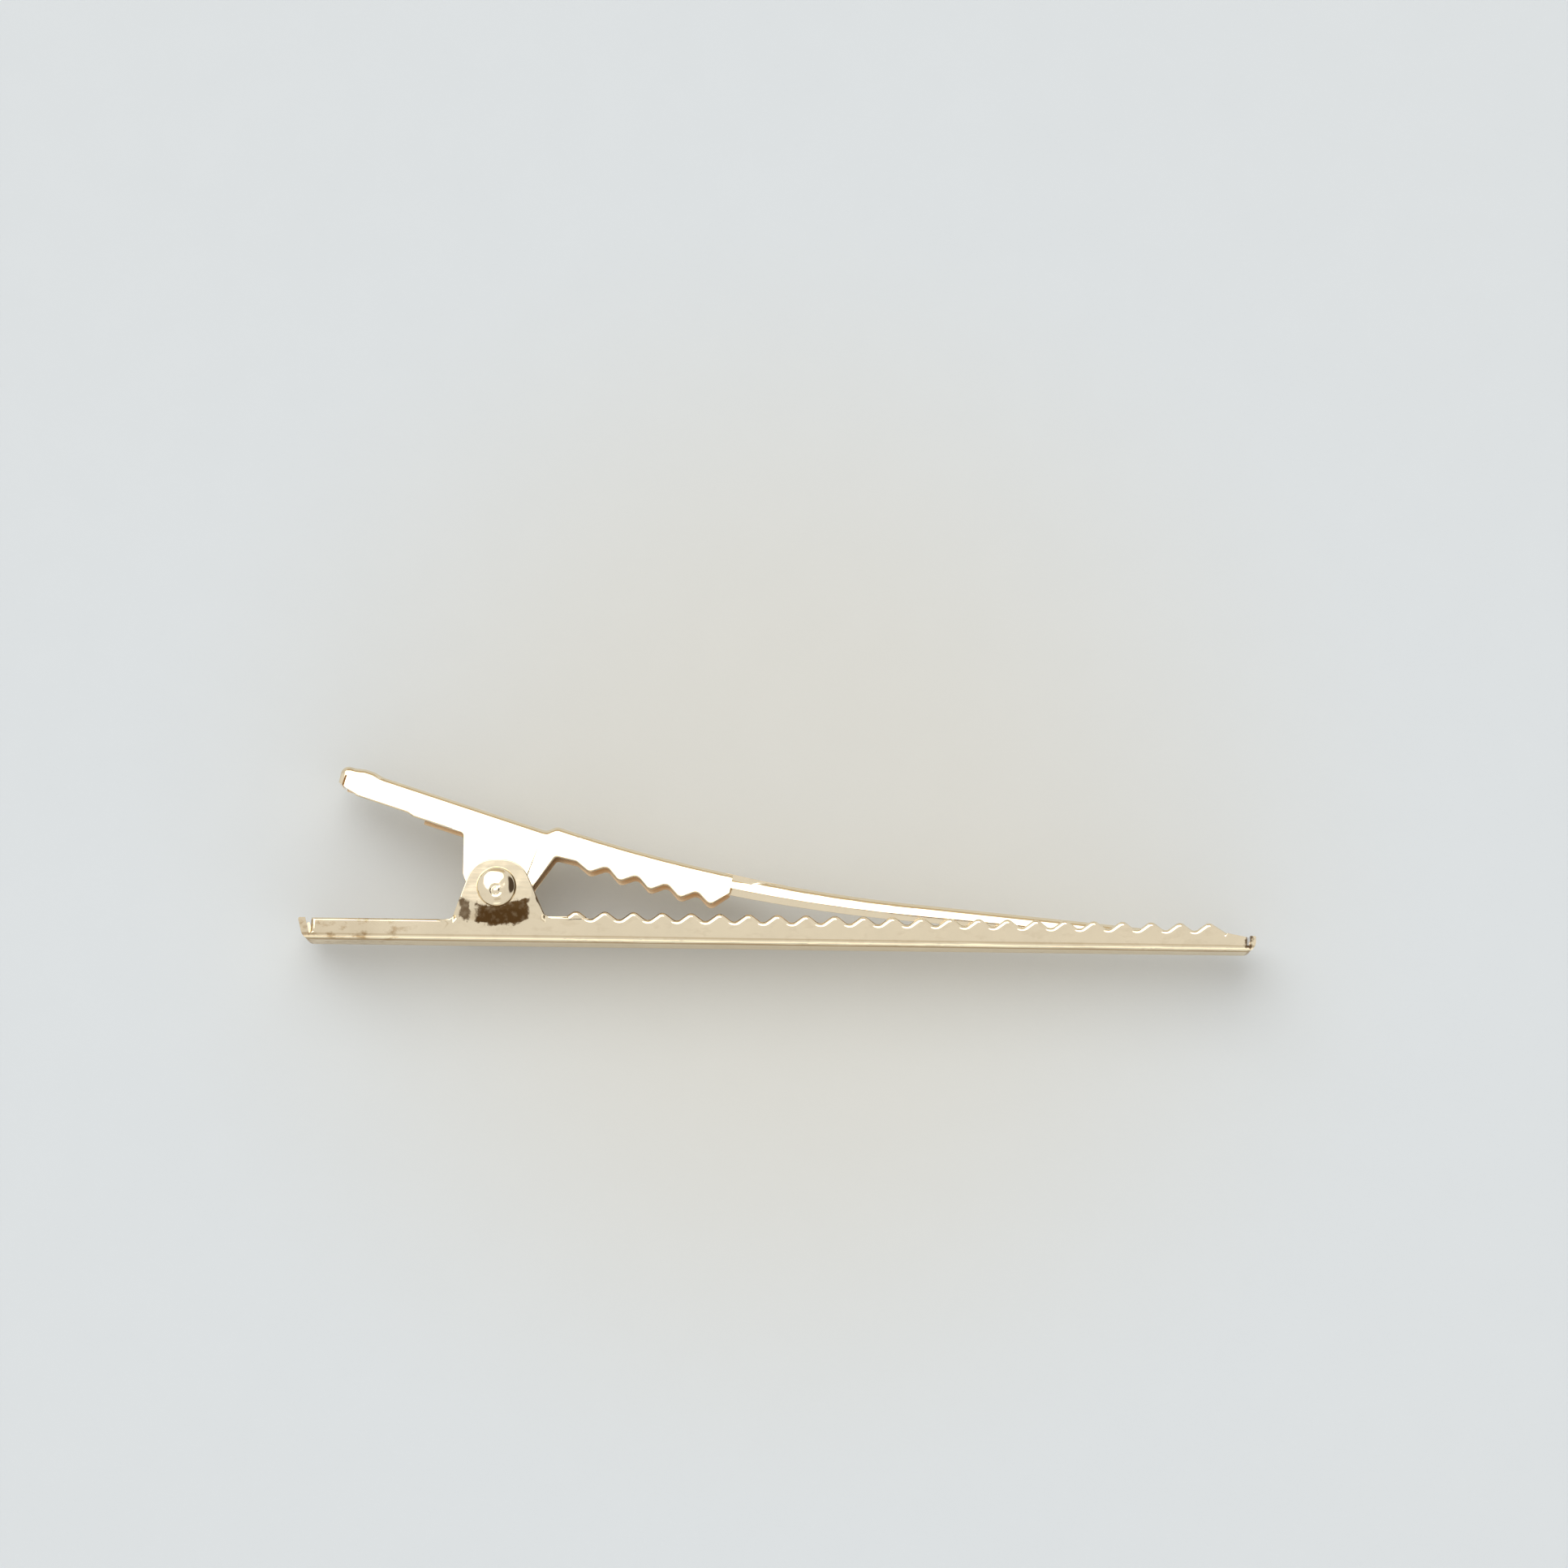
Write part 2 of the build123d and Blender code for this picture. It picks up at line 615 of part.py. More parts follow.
def spring_leg(bend_corner, end, z):
    """One leg: off the coil's side, round a bend and along a handle."""
    start = (-COIL_RADIUS, 0)
    path = FilletPolyline(start, bend_corner, end, radius=LEG_BEND)
    path = Pos(0, 0, z) * path
    section = Plane(origin=path @ 0, z_dir=path % 0) * Circle(WIRE_RADIUS)
    return sweep(section, path)


def torsion_spring():
    """Coil round the rivet with one leg in each handle channel."""
    height = COIL_TURNS * COIL_PITCH
    coil_path = Pos(0, 0, -height / 2) * Helix(COIL_PITCH, height, COIL_RADIUS)
    coil_path = Rot(0, 0, 180) * coil_path
    section = Plane(origin=coil_path @ 0, z_dir=coil_path % 0) * Circle(WIRE_RADIUS)
    coil = sweep(section, coil_path, is_frenet=True)
    lower_y = LONG_BACK + SHEET + LEG_GAP + WIRE_RADIUS
    lower = spring_leg((-COIL_RADIUS, lower_y), (LONG_LEG_END, lower_y), height / 2)
    below = SHEET + LEG_GAP + WIRE_RADIUS
    angle = radians(HANDLE_ANGLE)
    corner_along = (HANDLE_ROOT[0] + COIL_RADIUS - below * sin(angle)) / cos(angle)
    corner = handle_point(corner_along, below)
    upper = spring_leg(corner, handle_point(corner_along + SHORT_LEG_LENGTH, below), -height / 2)
    return coil + lower + upper


# ---- The clip in its own frame ----

PARTS = {
    "long_jaw": long_jaw,
    "short_jaw": short_jaw,
    "rivet": rivet,
    "torsion_spring": torsion_spring,
}

os.makedirs("parts", exist_ok=True)
for name, make in PARTS.items():
    export_step(Pos(*PIVOT) * make(), f"parts/{name}.step")
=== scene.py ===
"""A sprung metal sectioning clip on a pale table: stamped gold-plated jaws, a rivet and a coil spring."""

import json
import math

import bmesh
import bpy
from mathutils import Matrix, Vector, noise


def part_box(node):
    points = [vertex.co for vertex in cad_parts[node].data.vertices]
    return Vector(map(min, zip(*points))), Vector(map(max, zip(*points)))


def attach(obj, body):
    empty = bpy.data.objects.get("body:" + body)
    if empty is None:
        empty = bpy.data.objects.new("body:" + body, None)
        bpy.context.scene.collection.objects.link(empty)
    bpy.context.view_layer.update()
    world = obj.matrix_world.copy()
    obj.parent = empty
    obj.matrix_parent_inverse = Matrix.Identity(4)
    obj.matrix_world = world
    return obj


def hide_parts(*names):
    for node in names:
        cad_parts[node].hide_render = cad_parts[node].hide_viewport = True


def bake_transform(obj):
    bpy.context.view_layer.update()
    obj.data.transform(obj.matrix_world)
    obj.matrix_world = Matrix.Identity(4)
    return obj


MM = 0.001

# Rounding of each stamping's edges: on the skin's outside, on its inside, the stretch along X
# from the pivot that is wide enough to be rounded, and how far from the middle plane that starts
ROUNDING = {
    "long_jaw": (0.28 * MM, 0.07 * MM, (-12.6 * MM, 50.8 * MM), 0.0),
    "short_jaw": (0.1 * MM, 0.05 * MM, (-9.7 * MM, 15.2 * MM), 1.9 * MM),
}
EAR_FLANKS = (3.8 * MM, -2.35 * MM)  # half length and foot of the thin ears, which have small roundings
SHARP_ANGLE = math.radians(40)  # edges that turn less than this are left alone
FLAT_ANGLE = math.radians(0.05)  # neighbouring faces that turn less than this become one face
OUTWARD = 0.6  # least Z part of the direction of a face on the skin's outside
STAMPING_WELD = 0.002 * MM
ROUNDING_STEPS = 4

# Tilts of the flat faces, in degrees between their direction and Z
EAR_TILT = 0.05  # at most
WALL_TILT = (2.3, 2.7)
ACROSS_TILT = 84  # at least, for faces that cross the sheet or the clip

# Rivet, about the pivot
SHANK_RADIUS = 0.75 * MM
HEAD_SEAT = 3.02 * MM
HEAD_RADIUS = 1.36 * MM
HEAD_HEIGHT = 0.78 * MM
HEAD_FLATNESS = 2.5  # 2 is an ellipse; more is flatter on top and steeper at the rim
HEAD_LEAN = 0.03  # slope of the head's flat, down towards the upper left
HAMMER_DEPTH = 0.02 * MM
HAMMER_SPACING = 0.55 * MM
NIB_CENTRE = (-0.03 * MM, -0.3 * MM)
NIB_RADIUS = 0.3 * MM
NIB_RISE = 0.054 * MM
GROOVE_DEPTH = 0.072 * MM  # of the C-shaped groove round the nib
GROOVE_WIDTH = 0.28  # as a share of the nib's radius
GROOVE_OPENING = math.radians(40)  # direction of the gap in the groove
GROOVE_FADE = 0.6  # cosine of the angle from there at which the groove begins to fade
RIVET_WELD = 0.001 * MM
LATHE_STEPS = 96
LATHE_RINGS = 44

# Spring, about the pivot
WIRE_RADIUS = 0.3 * MM
COIL_RADIUS = 1.3 * MM
COIL_TURNS = 4
COIL_HEIGHT = 2.64 * MM
LEG_BEND = 0.8 * MM
LONG_LEG_DEPTH = 2.95 * MM
LONG_LEG_END = 9.5 * MM
SHORT_LEG_LENGTH = 8.2 * MM
HANDLE_ROOT = (3.3 * MM, 3.93 * MM)
HANDLE_ANGLE = math.radians(17.5)
LEG_UNDER_HANDLE = 0.73 * MM
BEND_STEPS = 12
COIL_STEPS = 48  # to a turn
WIRE_RESOLUTION = 5

# Camera: over the clip, a little to the side of the long jaw's back
CAMERA_DISTANCE = 500 * MM
CAMERA_TILT = math.radians(5.5)
CAMERA_ROLL = math.radians(0.76)
CAMERA_NEAR_LIMIT = 10 * MM
FRAME_WIDTH = 106.4 * MM
SENSOR_WIDTH = 36.0  # in the camera's own millimetres
AIM_FROM_PIVOT = (19.39 * MM, 7.13 * MM)  # the picture's middle, along the long jaw and across it

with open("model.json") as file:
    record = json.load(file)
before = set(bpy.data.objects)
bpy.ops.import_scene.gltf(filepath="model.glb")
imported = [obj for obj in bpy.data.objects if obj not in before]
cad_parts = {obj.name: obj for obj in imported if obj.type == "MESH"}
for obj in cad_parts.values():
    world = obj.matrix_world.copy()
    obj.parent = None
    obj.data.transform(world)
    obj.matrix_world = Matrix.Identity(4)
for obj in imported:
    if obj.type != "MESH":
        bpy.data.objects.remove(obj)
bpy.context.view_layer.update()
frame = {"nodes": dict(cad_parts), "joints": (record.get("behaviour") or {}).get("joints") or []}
pivot = Vector(frame["joints"][0]["pos_m"])


# ---- Meshes ----


def new_piece(name, mesh, material):
    """An object with a finished mesh and its material, in the frame that the CAD pieces share."""
    piece = bpy.data.objects.new(name, mesh)
    bpy.context.scene.collection.objects.link(piece)
    mesh.materials.clear()
    mesh.materials.append(material)
    mesh.polygons.foreach_set("use_smooth", [True] * len(mesh.polygons))
    return piece


def faces_out(edge):
    """True where one of the edge's faces lies on the outside of the sheet's folded shape."""
    for face in edge.link_faces:
        away = face.calc_center_median().z - pivot.z
        if abs(face.normal.z) > OUTWARD and face.normal.z * away > 0:
            return True
    return False


def curved(face):
    """True for faces of bends and joggles, which are flat neither on a wall or ear nor across the sheet."""
    tilt = math.degrees(math.acos(min(1.0, abs(face.normal.z))))
    return EAR_TILT < tilt < WALL_TILT[0] or WALL_TILT[1] < tilt < ACROSS_TILT


def join_flat_faces(shape):
    """Joins the triangles of each flat face, and leaves those of bends and joggles as they are."""
    bmesh.ops.remove_doubles(shape, verts=shape.verts, dist=STAMPING_WELD)
    for edge in shape.edges:
        edge.seam = any(curved(face) for face in edge.link_faces)
    bmesh.ops.dissolve_limit(
        shape, angle_limit=FLAT_ANGLE, verts=shape.verts, edges=shape.edges, delimit={"SEAM"}
    )


def weigh_edges(shape, node):
    """Gives each sharp edge its share of the stamping's outer rounding, or marks it to stay sharp."""
    outer, inner, (start, end), half_gap = ROUNDING[node]
    weight = shape.edges.layers.float.new("bevel_weight_edge")
    for edge in shape.edges:
        if not edge.is_manifold or edge.calc_face_angle() < SHARP_ANGLE:
            continue
        spots = [vertex.co - pivot for vertex in edge.verts]
        if all(start < spot.x < end and abs(spot.z) > half_gap for spot in spots):
            on_ear = all(abs(spot.x) < EAR_FLANKS[0] and spot.y > EAR_FLANKS[1] for spot in spots)
            edge[weight] = 1.0 if faces_out(edge) and not on_ear else inner / outer
        else:
            edge.smooth = False


def rounded_stamping(node, name, material):
    """The CAD node's shape with the press's rolled outer edges and tumbled inner ones."""
    shape = bmesh.new()
    shape.from_mesh(frame["nodes"][node].data)
    join_flat_faces(shape)
    weigh_edges(shape, node)
    mesh = bpy.data.meshes.new(name)
    shape.to_mesh(mesh)
    shape.free()
    if "custom_normal" in mesh.attributes:
        mesh.attributes.remove(mesh.attributes["custom_normal"])
    piece = new_piece(name, mesh, material)
    bevel = piece.modifiers.new("rolled edges", "BEVEL")
    bevel.limit_method = "WEIGHT"
    bevel.width = ROUNDING[node][0]
    bevel.segments = ROUNDING_STEPS
    bevel.use_clamp_overlap = False
    bevel.miter_outer = "MITER_ARC"
    normals = piece.modifiers.new("normals", "WEIGHTED_NORMAL")
    normals.keep_sharp = True
    return piece


def head_height(radius):
    """Height of a rivet head's plain cap above its seat, at a radius."""
    share = (radius / HEAD_RADIUS) ** HEAD_FLATNESS
    return HEAD_HEIGHT * max(0.0, 1 - share) ** (1 / HEAD_FLATNESS)


def peened(x, y, side):
    """How far a rivet head is pushed in at a place by the hammer and, on the near head, the nib's punch."""
    dent = HAMMER_DEPTH * (1 + noise.noise(Vector((x, y, side * MM)) / HAMMER_SPACING))
    dent += HEAD_LEAN * max(0.0, HEAD_RADIUS + y - x)
    if side < 0:
        return dent
    across, along = x - NIB_CENTRE[0], y - NIB_CENTRE[1]
    reach = math.hypot(across, along) / NIB_RADIUS
    open_side = math.cos(math.atan2(along, across) - GROOVE_OPENING)
    closed = 1 - max(0.0, open_side - GROOVE_FADE) / (1 - GROOVE_FADE)
    groove = math.exp(-(((reach - 1) / GROOVE_WIDTH) ** 2)) * closed
    crown = max(0.0, 1 - reach**2)
    return dent + GROOVE_DEPTH * groove - NIB_RISE * crown


def rivet_shape():
    """Lathed rivet: shank and two domed heads, the near one with a punched nib."""
    half = [(SHANK_RADIUS, 0.0), (SHANK_RADIUS, HEAD_SEAT), (HEAD_RADIUS, HEAD_SEAT)]
    for ring in range(1, LATHE_RINGS):
        radius = HEAD_RADIUS * math.cos(math.pi / 2 * ring / LATHE_RINGS)
        half.append((radius, HEAD_SEAT + head_height(radius)))
    shape = bmesh.new()
    for side in (1, -1):
        previous = None
        for radius, height in half:
            circle = []
            for step in range(LATHE_STEPS):
                turn = 2 * math.pi * step / LATHE_STEPS
                x, y = radius * math.cos(turn), radius * math.sin(turn)
                share = (height - HEAD_SEAT) / HEAD_HEIGHT
                drop = peened(x, y, side) * share if share > 0 else 0.0
                circle.append(shape.verts.new(pivot + Vector((x, y, side * (height - drop)))))
            if previous:
                for step in range(LATHE_STEPS):
                    after = (step + 1) % LATHE_STEPS
                    corners = [previous[step], previous[after], circle[after], circle[step]]
                    shape.faces.new(corners if side > 0 else corners[::-1])
            previous = circle
        shape.faces.new(previous if side > 0 else previous[::-1])
    bmesh.ops.remove_doubles(shape, verts=shape.verts, dist=RIVET_WELD)
    mesh = bpy.data.meshes.new("peened_rivet")
    shape.to_mesh(mesh)
    shape.free()
    return mesh


def bent_leg(start, corner, end, height):
    """Points of a spring leg from the coil's side round a bend to its end."""
    start, corner, end = (Vector((*point, height)) for point in (start, corner, end))
    inward, outward = (start - corner).normalized(), (end - corner).normalized()
    opening = inward.angle(outward)
    setback = LEG_BEND / math.tan(opening / 2)
    centre = corner + (inward + outward).normalized() * LEG_BEND / math.sin(opening / 2)
    first, last = corner + inward * setback - centre, corner + outward * setback - centre
    bend = []
    for step in range(BEND_STEPS + 1):
        bend.append(centre + first.slerp(last, step / BEND_STEPS).normalized() * LEG_BEND)
    return [start, *bend, end]


def spring_path():
    """The wire's middle line: along the long jaw's handle, round the coil, up and along the other handle."""
    half = COIL_HEIGHT / 2
    long_leg = bent_leg(
        (-COIL_RADIUS, 0), (-COIL_RADIUS, -LONG_LEG_DEPTH), (-LONG_LEG_END, -LONG_LEG_DEPTH), half
    )
    along = Vector((-math.cos(HANDLE_ANGLE), math.sin(HANDLE_ANGLE)))
    under = Vector((-math.sin(HANDLE_ANGLE), -math.cos(HANDLE_ANGLE)))
    root = Vector(HANDLE_ROOT) + under * LEG_UNDER_HANDLE
    corner = root + along * (root.x + COIL_RADIUS) / math.cos(HANDLE_ANGLE)
    short_leg = bent_leg((-COIL_RADIUS, 0), corner, corner + along * SHORT_LEG_LENGTH, -half)
    coil = []
    steps = COIL_TURNS * COIL_STEPS
    for step in range(1, steps):
        turn = math.pi - 2 * math.pi * COIL_TURNS * step / steps
        height = half - COIL_HEIGHT * step / steps
        coil.append(Vector((COIL_RADIUS * math.cos(turn), COIL_RADIUS * math.sin(turn), height)))
    return [pivot + point for point in [*reversed(long_leg), *coil, *short_leg]]


def wire_shape(name, points, radius):
    """A round wire along points, closed at both ends."""
    curve = bpy.data.curves.new(name, "CURVE")
    curve.dimensions = "3D"
    curve.bevel_depth = radius
    curve.bevel_resolution = WIRE_RESOLUTION
    curve.use_fill_caps = True
    spline = curve.splines.new("POLY")
    spline.points.add(len(points) - 1)
    for target, point in zip(spline.points, points):
        target.co = (*point, 1)
    bent = bpy.data.objects.new(name, curve)
    mesh = bpy.data.meshes.new_from_object(bent)
    bpy.data.objects.remove(bent)
    mesh.name = name
    return mesh


# ---- Materials ----

GOLD = (0.92, 0.79, 0.57)
BROWN = (0.42, 0.27, 0.12)
STEEL = (0.78, 0.75, 0.7)
RUST = (0.3, 0.22, 0.14)
# painted warm shade: the browner colour of the faces that look into the channel
PAINTED_INSIDE_SHADE = (0.86, 0.64, 0.4)
# painted dark shade under the rivet and in the slot at the tip
PAINTED_SHADE_BROWN = (0.13, 0.07, 0.025)
BOARD = (0.555, 0.592, 0.618)
# the board's colour near the clip, with painted warm light
BOARD_IN_PAINTED_WARM_LIGHT = (0.55, 0.548, 0.512)
TABLE_GLOW_COLOUR = (1, 0.96, 0.87)
TABLE_GLOW = 0.12  # lifts the shadows on the pale board evenly

# Noises: how many grains to a millimetre, with their detail and stretch where those aren't the usual
DRAWING_LINES = {"per_mm": 5.0, "stretch": (14, 1, 1)}
CLOUDS = {"per_mm": 0.45, "detail": 5}
SPOTS = {"per_mm": 1.6, "detail": 4, "stretch": (1.6, 1, 1)}
BLOTCHES = {"per_mm": 2.4}
RAGGED_EDGE = {"per_mm": 1.9}
SHEET_WAVES = {"per_mm": 0.8, "detail": 1}
BOARD_PATCHES = {"per_mm": 0.3}
BOARD_GRAIN = {"per_mm": 3.0}
NOISE_SHIFT = (1, 3, 7)  # sets noises of different grain apart
NOISE_ROUGHNESS = 0.55
NOISE_RANGE = (0.3, 0.7)  # holds most of a noise's values
CLOUD_RANGE = (0.35, 0.65)
SPOT_RANGE = (0.5, 0.7)
BLOTCH_RANGE = (0.3, 0.5)
GRAIN_DEPTH = 0.0006 * MM
WAVE_DEPTH = 0.006 * MM  # the sheet's unevenness
BOARD_DEPTH = 0.01 * MM

# Plating. Places are in millimetres from the pivot
CLOUD_SHADE = 0.96  # of the plating's colour, where it is cloudy
HANDLED_FADE = (-7.5, -5)  # along X, from the handle's full smudges to the few beyond
SMUDGES_BEYOND = 0.12
# Faces that look towards the middle plane are duller, and painted browner as warm shade
INSIDE_FADE = (-1.35, -1.7)  # from the middle plane, below 0 for faces that look towards it
INSIDE_SHADE_SHARE = 0.85
GRAIN_ROUGHNESS = (0.85, 1.2)  # of the plating's roughness, along the drawing lines
DULL_ROUGHNESS = 0.12  # added by a full smudge or inside

# The long jaw's back: where its bends, which carry a painted dark reflection, and its flat web are, by the Y
# part of their direction
FOLD_BAND = (-0.993, -0.88)
FOLD_SOFTNESS = 0.02
PAINTED_REFLECTION_SHARE = 0.8
WEB_FADE = (-0.9, -0.99)
WORN_FADE = (-9.5, -5.5)  # along X, in millimetres from the pivot
WORN_SHARE = 0.28

# Painted dark shade under the rivet and in the slot at the tip, in millimetres from the pivot:
# its ends along X, its foot and head, their rise for each square millimetre of X, its strength
PAINTED_SHADE_PATCHES = (
    (-1.35, 2.2, -2.6, -1.2, 0.1, 1.0),
    (-2.5, -1.8, -2.6, -1.4, 0.1, 0.9),
    (50.85, 51.3, -3.4, -2.5, 0.0, 0.95),
)
SHADE_PATCH_SOFTNESS = 0.2
SHADE_PATCH_RAGGED = (0.14, 0.22)  # how far its edges stray along X and along Y
SHADE_PATCH_THINNEST = 0.85  # share of its strength in the thinnest patches

# Table
# Painted warm light near the clip fades out between these distances
PAINTED_WARMTH_FADE = (10 * MM, 48 * MM)  # distances from the clip's middle
BOARD_ROUGHNESS = (0.62, 0.75)


class Shading:
    """A material's node tree, with short names for the nodes that every finish here uses."""

    def __init__(self, name):
        self.material = bpy.data.materials.new(name)
        self.material.use_nodes = True
        self.nodes = self.material.node_tree.nodes
        self.links = self.material.node_tree.links
        self.shader = self.nodes["Principled BSDF"]
        self.coordinates = self.nodes.new("ShaderNodeTexCoord").outputs
        self.place = self.coordinates["Object"]

    def noise(self, per_mm, detail=3.0, stretch=(1, 1, 1)):
        """Noise from 0 to 1 with so many grains to a millimetre, drawn out where stretch is over 1."""
        mapping = self.nodes.new("ShaderNodeMapping")
        mapping.inputs["Location"].default_value = [per_mm * shift for shift in NOISE_SHIFT]
        mapping.inputs["Scale"].default_value = [1 / (MM * length) for length in stretch]
        self.links.new(self.place, mapping.inputs["Vector"])
        texture = self.nodes.new("ShaderNodeTexNoise")
        texture.inputs["Scale"].default_value = per_mm
        texture.inputs["Detail"].default_value = detail
        texture.inputs["Roughness"].default_value = NOISE_ROUGHNESS
        self.links.new(mapping.outputs["Vector"], texture.inputs["Vector"])
        return texture.outputs["Fac"]

    def remap(self, value, low, high, to_low, to_high, smooth=False):
        """A value's range low to high turned into to_low to to_high, and held there outside it."""
        node = self.nodes.new("ShaderNodeMapRange")
        if smooth:
            node.interpolation_type = "SMOOTHSTEP"
        settings = (low, high, to_low, to_high)
        for socket, setting in zip(("From Min", "From Max", "To Min", "To Max"), settings):
            node.inputs[socket].default_value = setting
        self.links.new(value, node.inputs["Value"])
        return node.outputs["Result"]

    def mix(self, share, first, second):
        """First colour turned into second by share; either may be a colour or a socket."""
        node = self.nodes.new("ShaderNodeMix")
        node.data_type = "RGBA"
        self.links.new(share, node.inputs["Factor"])
        for socket, colour in (("A", first), ("B", second)):
            if isinstance(colour, bpy.types.NodeSocket):
                self.links.new(colour, node.inputs[socket])
            else:
                node.inputs[socket].default_value = (*colour, 1)
        return node.outputs["Result"]

    def calculate(self, operation, first, second):
        """One step of arithmetic on two values; either may be a number or a socket."""
        node = self.nodes.new("ShaderNodeMath")
        node.operation = operation
        for socket, value in zip(node.inputs, (first, second)):
            if isinstance(value, bpy.types.NodeSocket):
                self.links.new(value, socket)
            else:
                socket.default_value = value
        return node.outputs["Value"]

    def plus(self, first, second):
        """The sum of two values."""
        return self.calculate("ADD", first, second)

    def times(self, first, second):
        """The product of two values."""
        return self.calculate("MULTIPLY", first, second)

    def from_pivot(self):
        """The three sockets of a place measured from the pivot, in millimetres."""
        mapping = self.nodes.new("ShaderNodeMapping")
        mapping.inputs["Location"].default_value = -pivot / MM
        mapping.inputs["Scale"].default_value = [1 / MM] * 3
        self.links.new(self.place, mapping.inputs["Vector"])
        split = self.nodes.new("ShaderNodeSeparateXYZ")
        self.links.new(mapping.outputs["Vector"], split.inputs["Vector"])
        return split.outputs

    def facing(self):
        """The Y and Z parts of the surface's direction on the piece."""
        split = self.nodes.new("ShaderNodeSeparateXYZ")
        self.links.new(self.coordinates["Normal"], split.inputs["Vector"])
        return split.outputs[1], split.outputs[2]

    def band(self, value, low, high, soft):
        """1 where a value lies between low and high, with soft ends."""
        rise = self.remap(value, low - soft / 2, low + soft / 2, 0, 1, smooth=True)
        fall = self.remap(value, high - soft / 2, high + soft / 2, 1, 0, smooth=True)
        return self.times(rise, fall)

    def bump(self, height, depth, under=None):
        """A bump of so much depth at full height, laid over another bump."""
        node = self.nodes.new("ShaderNodeBump")
        node.inputs["Distance"].default_value = depth
        self.links.new(height, node.inputs["Height"])
        if under:
            self.links.new(under, node.inputs["Normal"])
        return node.outputs["Normal"]

    def finish(self, colour, roughness, normal):
        """Links the finish to the shader."""
        self.links.new(colour, self.shader.inputs["Base Color"])
        self.links.new(roughness, self.shader.inputs["Roughness"])
        self.links.new(normal, self.shader.inputs["Normal"])
        return self.material


def with_painted_shade(shading, base, x, y):
    """The finish's colour with each patch of painted dark shade laid over it."""
    blotch = shading.noise(**BLOTCHES)
    stray_x, stray_y = SHADE_PATCH_RAGGED
    ragged_x = shading.plus(x, shading.remap(blotch, *NOISE_RANGE, -stray_x, stray_x))
    ragged = shading.noise(**RAGGED_EDGE)
    ragged_y = shading.plus(y, shading.remap(ragged, *NOISE_RANGE, -stray_y, stray_y))
    # Each patch lays painted dark shade over the finish
    for left, right, foot, head, bowl, strength in PAINTED_SHADE_PATCHES:
        curve = shading.times(shading.times(x, x), -bowl)
        across = shading.band(shading.plus(ragged_y, curve), foot, head, SHADE_PATCH_SOFTNESS)
        shade_patch = shading.times(shading.band(ragged_x, left, right, SHADE_PATCH_SOFTNESS), across)
        patchy = shading.remap(blotch, *BLOTCH_RANGE, SHADE_PATCH_THINNEST * strength, strength)
        base = shading.mix(shading.times(shade_patch, patchy), base, PAINTED_SHADE_BROWN)
    return base


def plated(name, colour, tarnish, roughness, smudges, back_roughness=None):
    """Bright plating on pressed metal: drawing lines, brown smudges, and a duller inside painted browner as
    warm shade.

    With a back_roughness it is the long jaw's, which also has a painted dark reflection along the bends of
    its back, a worn handle, and painted dark shade under the rivet and in the slot at the tip.
    """
    shading = Shading(name)
    shading.shader.inputs["Metallic"].default_value = 1
    drawn = shading.noise(**DRAWING_LINES)
    cloudy = shading.noise(**CLOUDS)
    x, y, z = shading.from_pivot()
    normal_y, normal_z = shading.facing()

    shaded = [CLOUD_SHADE * part for part in colour]
    base = shading.mix(shading.remap(cloudy, *CLOUD_RANGE, 0, 1), colour, shaded)
    marks = shading.remap(shading.noise(**SPOTS), *SPOT_RANGE, 0, smudges, smooth=True)
    smudged = shading.times(marks, shading.remap(x, *HANDLED_FADE, 1, SMUDGES_BEYOND, smooth=True))
    base = shading.mix(smudged, base, tarnish)
    # Faces inside the channel: duller, and painted browner as warm shade
    outward = shading.times(normal_z, z)
    inside = shading.remap(outward, *INSIDE_FADE, 0, INSIDE_SHADE_SHARE, smooth=True)
    base = shading.mix(inside, base, PAINTED_INSIDE_SHADE)

    low, high = (share * roughness for share in GRAIN_ROUGHNESS)
    matt = shading.remap(drawn, *NOISE_RANGE, low, high)
    matt = shading.plus(matt, shading.times(shading.plus(smudged, inside), DULL_ROUGHNESS))
    if back_roughness:
        # Painted dark reflection: the bend of the back is painted brown where it faces nearly along -Y
        painted_reflection_line = shading.band(normal_y, *FOLD_BAND, FOLD_SOFTNESS)
        base = shading.mix(shading.times(painted_reflection_line, PAINTED_REFLECTION_SHARE), base, BROWN)
        worn = shading.times(shading.remap(x, *WORN_FADE, WORN_SHARE, 0, smooth=True), cloudy)
        base = shading.mix(worn, base, tarnish)
        # Painted dark shade under the rivet and in the slot at the tip
        base = with_painted_shade(shading, base, x, y)
        matt = shading.plus(matt, shading.remap(normal_y, *WEB_FADE, 0, back_roughness, smooth=True))

    normal = shading.bump(drawn, GRAIN_DEPTH)
    normal = shading.bump(shading.noise(**SHEET_WAVES), WAVE_DEPTH, under=normal)
    return shading.finish(base, matt, normal)


def pale_table():
    """A smooth pale board with painted warm light near the clip, and with an even glow of its own."""
    shading = Shading("pale_table")
    distance = shading.nodes.new("ShaderNodeVectorMath")
    distance.operation = "LENGTH"
    shading.links.new(shading.place, distance.inputs[0])
    # Painted warm light near the clip, fading to the board's own colour further away
    beyond_painted_warmth = shading.remap(distance.outputs["Value"], *PAINTED_WARMTH_FADE, 0, 1, smooth=True)
    colour = shading.mix(beyond_painted_warmth, BOARD_IN_PAINTED_WARM_LIGHT, BOARD)
    shading.shader.inputs["Emission Color"].default_value = (*TABLE_GLOW_COLOUR, 1)
    shading.shader.inputs["Emission Strength"].default_value = TABLE_GLOW
    matt = shading.remap(shading.noise(**BOARD_PATCHES), *NOISE_RANGE, *BOARD_ROUGHNESS)
    return shading.finish(colour, matt, shading.bump(shading.noise(**BOARD_GRAIN), BOARD_DEPTH))


# ---- Pieces ----

